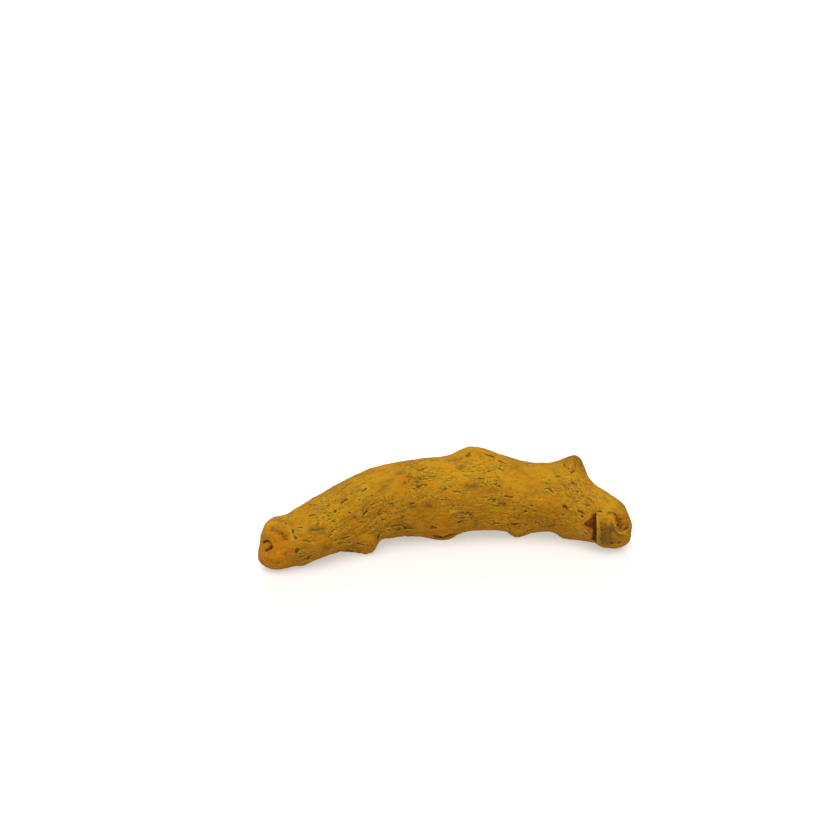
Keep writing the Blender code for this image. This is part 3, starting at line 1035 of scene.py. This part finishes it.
class Graph:
    """A material's nodes, made and wired by short calls that return sockets."""

    def __init__(self, tree: bpy.types.NodeTree) -> None:
        """Keeps the tree that nodes are added to."""
        self.tree = tree

    def node(self, kind: str, **settings: object) -> bpy.types.Node:
        """Adds a node and sets its properties.

        Args:
            kind: The node's type.
            **settings: Its properties and their values.

        Returns:
            The node.
        """
        made = self.tree.nodes.new(kind)
        for name, value in settings.items():
            setattr(made, name, value)
        return made

    def feed(self, socket: bpy.types.NodeSocket, value: object) -> None:
        """Wires a socket to the value if that is a socket too, and otherwise sets it.

        Args:
            socket: The input.
            value: An output, a number or a colour.
        """
        if isinstance(value, bpy.types.NodeSocket):
            self.tree.links.new(value, socket)
        elif isinstance(value, tuple) and len(value) == 3 and socket.type == "RGBA":
            socket.default_value = (*value, 1.0)
        else:
            socket.default_value = value

    def maths(self, operation: str, *values: object) -> bpy.types.NodeSocket:
        """One sum of up to three values.

        Args:
            operation: Which sum.
            *values: Outputs or numbers, in order.

        Returns:
            The result.
        """
        made = self.node("ShaderNodeMath", operation=operation)
        for socket, value in zip(made.inputs, values):
            self.feed(socket, value)
        return made.outputs[0]

    def scaled(
        self, vector: bpy.types.NodeSocket, factors: Axes, shift: float = 0.0
    ) -> bpy.types.NodeSocket:
        """The vector with each axis multiplied, and moved by the same amount on every axis.

        Args:
            vector: The place.
            factors: What each axis is multiplied by.
            shift: The move.

        Returns:
            The new vector.
        """
        made = self.node("ShaderNodeVectorMath", operation="MULTIPLY_ADD")
        self.feed(made.inputs[0], vector)
        made.inputs[1].default_value = factors
        made.inputs[2].default_value = (shift, shift, shift)
        return made.outputs[0]

    def noise(
        self, vector: bpy.types.NodeSocket, detail: float = 3.0, roughness: float = 0.55
    ) -> bpy.types.NodeSocket:
        """The value of a noise of scale 1 at the vector.

        Args:
            vector: The place.
            detail: How many finer noises it adds.
            roughness: How strong those are.

        Returns:
            The value, about 0.5 on average.
        """
        made = self.node("ShaderNodeTexNoise")
        self.feed(made.inputs["Vector"], vector)
        made.inputs["Scale"].default_value = 1.0
        made.inputs["Detail"].default_value = detail
        made.inputs["Roughness"].default_value = roughness
        return made.outputs["Fac"]

    def step(self, value: bpy.types.NodeSocket, low: float, high: float) -> bpy.types.NodeSocket:
        """0 up to low, 1 from high and smooth between. High may be the smaller, which turns it.

        Args:
            value: What is compared.
            low: Where it is 0.
            high: Where it is 1.

        Returns:
            The share.
        """
        made = self.node("ShaderNodeMapRange", interpolation_type="SMOOTHSTEP")
        self.feed(made.inputs["Value"], value)
        made.inputs["From Min"].default_value = min(low, high)
        made.inputs["From Max"].default_value = max(low, high)
        made.inputs["To Min"].default_value = float(low > high)
        made.inputs["To Max"].default_value = float(low < high)
        return made.outputs["Result"]

    def mix(self, share: object, first: object, second: object, blend: str = "MIX") -> object:
        """Two colours mixed by a share.

        Args:
            share: How much of the second.
            first: A colour.
            second: Another.
            blend: How they are mixed.

        Returns:
            The mixed colour.
        """
        made = self.node("ShaderNodeMix", data_type="RGBA", blend_type=blend)
        self.feed(made.inputs[0], share)
        self.feed(made.inputs[6], first)
        self.feed(made.inputs[7], second)
        return made.outputs[2]


@dataclass(frozen=True)
class Mottling:
    """A noise that spreads a colour unevenly, and the values of it between which that comes in."""

    grain: Axes  # waves a millimetre along and round the finger
    low: float = 0.0
    high: float = 1.0
    share: float = 1.0  # how much of the colour lies there at most
    shift: float = 0.0  # where in the noise, so that the layers differ
    detail: float = 3.0
    roughness: float = 0.55

    def noise(self, graph: Graph, place: object) -> bpy.types.NodeSocket:
        """The noise itself."""
        return graph.noise(graph.scaled(place, self.grain, self.shift), self.detail, self.roughness)

    def spread(self, graph: Graph, place: object) -> bpy.types.NodeSocket:
        """How much of the colour lies at the place."""
        shown = graph.step(self.noise(graph, place), self.low, self.high)
        return shown if self.share == 1 else graph.maths("MULTIPLY", shown, self.share)


@dataclass(frozen=True)
class CrackLines:
    """One size of broken wavy lines: how many waves a millimetre, and how they show."""

    grain: Axes
    shift: float  # where in the noise, so that the sizes differ
    breaks: Axes  # waves a millimetre of the noise that breaks the lines up
    thickness: float
    bare: float  # under this value of that noise there is no line
    dark: float
    depth: float  # in millimetres


@dataclass(frozen=True)
class CuredSkin:
    """The root's finish: matt mustard cork, dusted with its own pale dust, with painted highlights
    and painted shade.
    """

    golden: Colour = (0.358, 0.173, 0.0036)
    mustard: Colour = (0.305, 0.139, 0.0030)
    ochre: Colour = (0.255, 0.100, 0.0026)
    olive: Colour = (0.215, 0.104, 0.0040)
    pale: Colour = (0.43, 0.24, 0.014)
    warm: Colour = (1.06, 0.92, 0.80)
    cool: Colour = (0.93, 1.06, 1.30)
    crack: Colour = (0.088, 0.035, 0.004)
    umber: Colour = (0.15, 0.058, 0.004)
    grey_cork: Colour = (0.096, 0.055, 0.005)
    violet_cork: Colour = (0.165, 0.066, 0.007)
    orange: Colour = (0.345, 0.117, 0.0023)
    # Dark red-brown inner flesh, which also paints the shade in the scar's recess and the end's
    # groove.
    red_brown_flesh_and_shade: Colour = (0.070, 0.012, 0.001)
    # Painted shade: what the skin is multiplied by low on its sides, to darken them and turn them
    # more orange, and between which heights above the middle line that comes in.
    bare: Colour = (0.95, 0.84, 0.60)
    underside_shade_heights: Span = (5.5, 0.5)
    # Where mustard shows in the golden ground, and the colours laid unevenly over both, in order.
    ground: Mottling = Mottling((0.11, 0.17, 0.17), 0.38, 0.62, detail=4.0)
    layers: tuple[tuple[Colour, Mottling], ...] = (
        (olive, Mottling((0.3, 0.55, 0.55), 0.52, 0.68, 0.6, 17.3, 4.0, 0.6)),
        (ochre, Mottling((0.55, 0.9, 0.9), 0.5, 0.70, 0.65, 0.0, 5.0, 0.65)),
        (umber, Mottling((0.6, 1.9, 1.9), 0.54, 0.72, 0.4)),
        (pale, Mottling((4.0, 6.0, 6.0), 0.52, 0.75, 0.35, detail=2.0)),
    )
    # Where the skin is cool rather than warm, and where a rubbed place shows its orange.
    tint: Mottling = Mottling((0.45, 0.8, 0.8), 0.32, 0.68, shift=53.1, detail=5.0, roughness=0.75)
    rub: Mottling = Mottling((0.55, 0.9, 0.9), 0.25, 0.5, detail=5.0, roughness=0.65)
    # Where the cork is violet rather than grey, and where it has its full strength and not half.
    cork: Mottling = Mottling((1.2, 2.4, 2.4), 0.47, 0.57, shift=31.7, detail=4.0, roughness=0.7)
    thin_cork: Mottling = Mottling((1.2, 2.4, 2.4), 0.36, 0.6, 0.5, 31.7, 4.0, 0.7)
    # How much of the lips' painted highlight, and of each of the last three stains (a painted
    # highlight, red-brown flesh with painted shade, and the cracks), is laid at most.
    lip_highlight_cover: float = 0.35
    covers: tuple[tuple[Tone, Colour, float], ...] = (
        (Tone.PAINTED_HIGHLIGHT, pale, 0.75),
        (Tone.FLESH_AND_SHADE, red_brown_flesh_and_shade, 0.97),
        (Tone.CRACK, crack, 0.9),
    )
    # The stains' edges: a fine noise frays them by so much, and they come in between two strengths.
    fray: Mottling = Mottling((2.0, 4.5, 4.5), shift=3.1, roughness=0.6)
    fray_by: float = 1.2
    stain_edges: tuple[tuple[Tone, float, float], ...] = (
        (Tone.CRACK, 0.34, 0.62),
        (Tone.FLESH_AND_SHADE, 0.12, 0.85),
    )
    lip_highlight_skirt: Span = (0.03, 0.2)  # strengths of a crack's stain between which its lip's painted highlight comes in
    grain: Mottling = Mottling((1.6, 3.4, 3.4), shift=7.7, detail=4.0, roughness=0.65)
    grain_relief: float = 0.2  # in millimetres
    roughness: float = 0.66
    grain_roughness: float = 0.25  # what the grain adds to it
    specular: float = 0.08
    # The fine lines: how much of the thickness is at full depth, how far the lips reach in
    # thicknesses, how high those are and how deep the lines, how softly the lines break off, and
    # how much the crowding adds to the noise that breaks them up.
    line_core: float = 0.3
    lip_reach: float = 3.5
    lip_rise: float = 0.4
    line_fall: float = -1.4
    break_blur: float = 0.06
    crowd_pull: float = 0.35
    lines: tuple[CrackLines, ...] = (
        CrackLines((0.5, 1.6, 1.6), 5.3, (0.9, 1.5, 1.5), 0.03, 0.69, 0.7, 0.20),
        CrackLines((0.9, 2.9, 2.9), 11.9, (1.4, 2.3, 2.3), 0.06, 0.64, 0.18, 0.16),
        CrackLines((0.4, 1.6, 1.6), 23.1, (0.5, 0.8, 0.8), 0.05, 0.50, 0.10, 0.13),
    )

    def colour(
        self, graph: Graph, place: object, stains: dict[Tone, object], dark: object, lips: object
    ) -> object:
        """The skin's colour: mottled mustard with painted shade low on its sides, then the stains
        and the painted highlights, then the cracks.

        Args:
            graph: The material's nodes.
            place: The straight place, in millimetres.
            stains: The strength of each tone of mark.
            dark: The strength of the fine cracks.
            lips: The strength of their lips' painted highlight.

        Returns:
            The colour socket.
        """
        base = graph.mix(self.ground.spread(graph, place), self.golden, self.mustard)
        for colour, layer in self.layers:
            base = graph.mix(layer.spread(graph, place), base, colour)
        tint = graph.mix(self.tint.spread(graph, place), self.warm, self.cool)
        base = graph.mix(1.0, base, tint, "MULTIPLY")
        sides = graph.node("ShaderNodeSeparateXYZ")
        graph.feed(sides.inputs[0], place)
        # Painted shade on the low sides.
        low = graph.step(sides.outputs[1], *self.underside_shade_heights)
        base = graph.mix(low, base, self.bare, "MULTIPLY")
        # Painted highlight: the lips are lightened towards pale.
        base = graph.mix(graph.maths("MULTIPLY", lips, self.lip_highlight_cover), base, self.pale)
        rubbed = graph.maths("MULTIPLY", stains[Tone.RUBBED], self.rub.spread(graph, place))
        base = graph.mix(rubbed, base, self.orange)
        cork = graph.mix(self.cork.spread(graph, place), self.grey_cork, self.violet_cork)
        cover = graph.maths("ADD", self.thin_cork.spread(graph, place), 1 - self.thin_cork.share)
        base = graph.mix(graph.maths("MULTIPLY", stains[Tone.GREY], cover), base, cork)
        for tone, colour, share in self.covers:
            base = graph.mix(graph.maths("MULTIPLY", stains[tone], share), base, colour)
        return graph.mix(dark, base, self.crack)

    def fine_cracks(
        self, graph: Graph, place: object, crowd: object
    ) -> tuple[object, object, object]:
        """Broken wavy lines along the finger, in some stretches more than in others.

        A line lies where a drawn-out noise crosses its middle value, and shows only where a second
        noise is high. A low lip runs along both its sides, with a painted highlight on it.

        Args:
            graph: The material's nodes.
            place: The straight place, in millimetres.
            crowd: How thickly the lines lie, 0.5 for the middle.

        Returns:
            The strength of the lines' colour, the strength of their lips' painted highlight, and
            their
            relief: below 0 in the lines, above on the lips.
        """
        colour, lips, relief = 0.0, 0.0, 0.0
        for line in self.lines:
            wave = graph.noise(graph.scaled(place, line.grain, line.shift), 2.0)
            off = graph.maths("ABSOLUTE", graph.maths("SUBTRACT", wave, 0.5))
            inside = graph.step(off, line.thickness, line.thickness * self.line_core)
            near = graph.step(off, line.thickness * self.lip_reach, line.thickness)
            gate = graph.noise(graph.scaled(place, line.breaks, -line.shift), 1.0)
            crowded = graph.maths("SUBTRACT", crowd, 0.5)
            gate = graph.maths("MULTIPLY_ADD", crowded, self.crowd_pull, gate)
            shown = graph.step(gate, line.bare, line.bare + self.break_blur)
            dark = graph.maths("MULTIPLY", graph.maths("MULTIPLY", inside, shown), line.dark)
            colour = graph.maths("MAXIMUM", dark, colour)
            rise = graph.maths("MULTIPLY", near, self.lip_rise)
            rise = graph.maths("MULTIPLY_ADD", inside, self.line_fall, rise)
            rise = graph.maths("MULTIPLY", rise, shown)
            relief = graph.maths("MULTIPLY_ADD", rise, line.depth, relief)
            lips = graph.maths("MAXIMUM", graph.maths("MULTIPLY", near, shown), lips)
        return colour, lips, relief

    def material(self) -> bpy.types.Material:
        """The skin's colour, roughness and fine relief, read from the piece's own values.

        Returns:
            The whole material.
        """
        made = bpy.data.materials.new("cured_turmeric_skin")
        made.use_nodes = True
        graph = Graph(made.node_tree)
        shader = made.node_tree.nodes["Principled BSDF"]
        place = graph.node("ShaderNodeAttribute", attribute_name="straight_place").outputs["Vector"]
        stain = graph.node("ShaderNodeAttribute", attribute_name="stain")
        split = graph.node("ShaderNodeSeparateColor")
        graph.feed(split.inputs[0], stain.outputs["Color"])
        flesh_and_shade = graph.node("ShaderNodeAttribute", attribute_name="flesh_and_shade").outputs["Fac"]
        painted_highlight = graph.node("ShaderNodeAttribute", attribute_name="painted_highlight").outputs["Fac"]
        fray = self.fray.noise(graph, place)
        fray = graph.maths("MULTIPLY_ADD", fray, self.fray_by, -self.fray_by / 2)
        stains = dict(zip(Tone, (*split.outputs[:3], flesh_and_shade, painted_highlight)))
        lip_highlight_skirt = graph.step(stains[Tone.CRACK], *self.lip_highlight_skirt)
        for tone, low, high in self.stain_edges:
            stains[tone] = graph.step(graph.maths("ADD", stains[tone], fray), low, high)
        dark, lips, lines = self.fine_cracks(graph, place, stain.outputs["Alpha"])
        lips = graph.maths("MAXIMUM", lips, lip_highlight_skirt)
        graph.feed(shader.inputs["Base Color"], self.colour(graph, place, stains, dark, lips))
        grain = self.grain.noise(graph, place)
        rough = graph.maths("MULTIPLY_ADD", grain, self.grain_roughness, self.roughness)
        graph.feed(shader.inputs["Roughness"], rough)
        shader.inputs["Specular IOR Level"].default_value = self.specular
        relief = graph.maths("MULTIPLY_ADD", grain, self.grain_relief, lines)
        bump = graph.node("ShaderNodeBump")
        bump.inputs["Strength"].default_value = 1.0
        bump.inputs["Distance"].default_value = METRES
        graph.feed(bump.inputs["Height"], relief)
        graph.feed(shader.inputs["Normal"], bump.outputs["Normal"])
        return made


@dataclass
class TurmericFinger:
    """The visible root: its solid's shape on a fine grid, with its marks and finish."""

    body: FingerBody = field(default_factory=FingerBody)
    marks: SkinMarks = field(default_factory=SkinMarks)
    finish: CuredSkin = CuredSkin()
    # The grid, which stays under 200,000 triangles.
    points_round: int = 256
    rings: int = 376

    def places(self) -> SkinPlaces:
        """The grid: a pole, then even rings of evenly turned points, then the other pole.

        Returns:
            The points on the smooth body.
        """
        share = np.linspace(0, 1, self.rings + 2)[1:-1]
        angle = np.arange(self.points_round) / self.points_round * 2 * math.pi
        shares = np.concatenate([[0], np.repeat(share, self.points_round), [1]])
        angles = np.concatenate([[0], np.tile(angle, self.rings), [0]])
        return self.body.lay_out(shares, angles)

    def faces(self) -> tuple[np.ndarray, np.ndarray]:
        """Triangles round the two poles, and four-sided faces between neighbouring rings.

        Returns:
            The triangles' and the quads' corners, both turned outwards.
        """
        around = np.arange(self.points_round)
        following = (around + 1) % self.points_round
        last = 1 + (self.rings - 1) * self.points_round
        pole = last + self.points_round
        first_fan = np.column_stack([np.zeros_like(around), 1 + around, 1 + following])
        last_fan = np.column_stack([np.full_like(around, pole), last + following, last + around])
        ring = 1 + np.arange(self.rings - 1)[:, None] * self.points_round
        near, near_next = ring + around, ring + following
        quads = np.stack(
            [near, near + self.points_round, near_next + self.points_round, near_next], axis=-1
        )
        return np.concatenate([first_fan, last_fan]), quads.reshape(-1, 4)

    def build(self) -> bpy.types.Object:
        """Raises the grid by the body's forms, then the marks, and settles it on the table.

        Returns:
            The skin's object, with the values that its finish reads.
        """
        places = self.places()
        straight = places.straight
        pressed, stain = self.marks.press(self.body, straight)
        folds = self.marks.wrinkles(self.body, straight)
        lift = self.body.lift(straight) + pressed + folds + self.marks.dents(straight)
        points = places.point + places.normal * lift[:, None]
        points[:, 2] = self.body.settled(points[:, 2])
        triangles, quads = self.faces()
        mesh = bpy.data.meshes.new("finger_skin")
        mesh.vertices.add(len(points))
        mesh.vertices.foreach_set("co", (points * METRES).ravel())
        mesh.loops.add(triangles.size + quads.size)
        corners = np.concatenate([triangles.ravel(), quads.ravel()])
        mesh.loops.foreach_set("vertex_index", corners.astype(np.int32))
        mesh.polygons.add(len(triangles) + len(quads))
        starts = np.concatenate(
            [np.arange(len(triangles)) * 3, triangles.size + np.arange(len(quads)) * 4]
        )
        mesh.polygons.foreach_set("loop_start", starts.astype(np.int32))
        mesh.update(calc_edges=True)
        mesh.validate()
        mesh.shade_smooth()
        self.keep(mesh, "straight_place", "FLOAT_VECTOR", "vector", straight)
        crowd = 0.5 + 0.5 * self.marks.crowding(self.body, straight)
        colours = np.column_stack([stain[:, :3], np.clip(crowd, 0, 1)])
        self.keep(mesh, "stain", "FLOAT_COLOR", "color", colours)
        self.keep(mesh, "flesh_and_shade", "FLOAT", "value", stain[:, Tone.FLESH_AND_SHADE.value])
        self.keep(mesh, "painted_highlight", "FLOAT", "value", stain[:, Tone.PAINTED_HIGHLIGHT.value])
        piece = bpy.data.objects.new("finger_skin", mesh)
        bpy.context.scene.collection.objects.link(piece)
        return piece

    @staticmethod
    def keep(mesh: bpy.types.Mesh, name: str, kind: str, key: str, values: np.ndarray) -> None:
        """Stores one value or row for each point under a name that the finish reads."""
        attribute = mesh.attributes.new(name, kind, "POINT")
        attribute.data.foreach_set(key, np.ascontiguousarray(values, dtype=np.float32).ravel())

    def dress(self, piece: bpy.types.Object) -> None:
        """Gives the piece its finish and its place in the frame.

        Args:
            piece: The skin's object.
        """
        piece.data.materials.append(self.finish.material())
        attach(piece, "root")
        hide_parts("turmeric_root")


@dataclass(frozen=True)
class TableFinish:
    """A glossy light table: its own glow keeps the shadow pale and the rest of it white."""

    white: Colour = (0.38, 0.38, 0.38)
    glow_white: Colour = (1.0, 0.98, 0.94)
    glow: float = 0.48
    roughness: float = 0.22
    specular: float = 1.0
    bending: float = 1.8

    def material(self) -> bpy.types.Material:
        """The same white, gloss and glow all over.

        Returns:
            The whole material.
        """
        made = bpy.data.materials.new("white_table")
        made.use_nodes = True
        shader = made.node_tree.nodes["Principled BSDF"]
        shader.inputs["Base Color"].default_value = (*self.white, 1.0)
        shader.inputs["Roughness"].default_value = self.roughness
        shader.inputs["Specular IOR Level"].default_value = self.specular
        shader.inputs["IOR"].default_value = self.bending
        shader.inputs["Emission Color"].default_value = (*self.glow_white, 1.0)
        shader.inputs["Emission Strength"].default_value = self.glow
        return made


@dataclass(frozen=True)
class BroadLight:
    """A large far lamp: its direction from the finger, how wide it looks, and its strength."""

    name: str
    direction: Axes
    width: float
    strength: float

    def build(self) -> None:
        """Adds the lamp, turned to shine from its direction."""
        lamp = bpy.data.lights.new(self.name, "SUN")
        lamp.angle = math.radians(self.width)
        lamp.energy = self.strength
        holder = bpy.data.objects.new(self.name, lamp)
        turn_towards(holder, self.direction, (0.0, 0.0, 0.0))
        bpy.context.scene.collection.objects.link(holder)


def turn_towards(thing: bpy.types.Object, place: Axes, target: Axes) -> None:
    """Puts a lamp or camera at a place, looking along its -Z at the target, with its top up.

    Args:
        thing: The lamp or camera.
        place: Where it stands.
        target: What it looks at.
    """
    start, aim = mathutils.Vector(place), mathutils.Vector(target)
    thing.location = start
    thing.rotation_euler = (aim - start).to_track_quat("-Z", "Y").to_euler()


@dataclass
class Studio:
    """The pale table, the soft lights and the camera. The table's half side is in metres."""

    table_half: float = 3.0
    finish: TableFinish = TableFinish()
    lights: tuple[BroadLight, ...] = (
        BroadLight("overhead_light", (-0.12, -0.28, 0.95), 60.0, 3.15),
        BroadLight("front_light", (-0.2, -1.0, 0.15), 90.0, 0.5),
    )
    sky: float = 0.75
    eye: Axes = (-51.75, -330.87, 155.7)
    aim: Axes = (-4.11, 6.97, 23.06)
    lens: float = 85.0
    sensor: float = 36.0
    seen_distances: Span = (0.01, 20.0)  # in metres

    def build_table(self) -> None:
        """A large square at height 0, as a grid of one cell."""
        side = np.array([-self.table_half, self.table_half])
        x, y = (part.ravel() for part in np.meshgrid(side, side))
        mesh = bpy.data.meshes.new("table_top")
        mesh.from_pydata(np.column_stack([x, y, np.zeros(4)]).tolist(), [], [(0, 1, 3, 2)])
        mesh.update()
        table = bpy.data.objects.new("table_top", mesh)
        table.data.materials.append(self.finish.material())
        bpy.context.scene.collection.objects.link(table)

    def build_lights(self) -> None:
        """The soft lights, and an even white sky."""
        for light in self.lights:
            light.build()
        world = bpy.data.worlds.new("even_sky")
        world.use_nodes = True
        sky = world.node_tree.nodes["Background"]
        sky.inputs["Color"].default_value = (1.0, 1.0, 1.0, 1.0)
        sky.inputs["Strength"].default_value = self.sky
        bpy.context.scene.world = world

    def build_camera(self) -> None:
        """The camera, before the finger and a little to its left, looking down on it."""
        camera = bpy.data.cameras.new("studio_camera")
        camera.lens = self.lens
        camera.sensor_width = self.sensor
        camera.clip_start, camera.clip_end = self.seen_distances
        holder = bpy.data.objects.new("studio_camera", camera)
        eye, aim = (tuple(value * METRES for value in place) for place in (self.eye, self.aim))
        turn_towards(holder, eye, aim)
        bpy.context.scene.collection.objects.link(holder)
        bpy.context.scene.camera = holder

    def build(self) -> None:
        """The whole studio, with plain display colours."""
        self.build_table()
        self.build_lights()
        self.build_camera()
        bpy.context.scene.view_settings.view_transform = "Standard"


def main() -> None:
    """Builds the finger, then the studio."""
    logging.basicConfig(level=logging.INFO, format="%(name)s: %(message)s")
    finger = TurmericFinger()
    piece = finger.build()
    finger.dress(piece)
    LOG.info("finger_skin: %d points", len(piece.data.vertices))
    Studio().build()


if __name__ == "__main__":
    main()
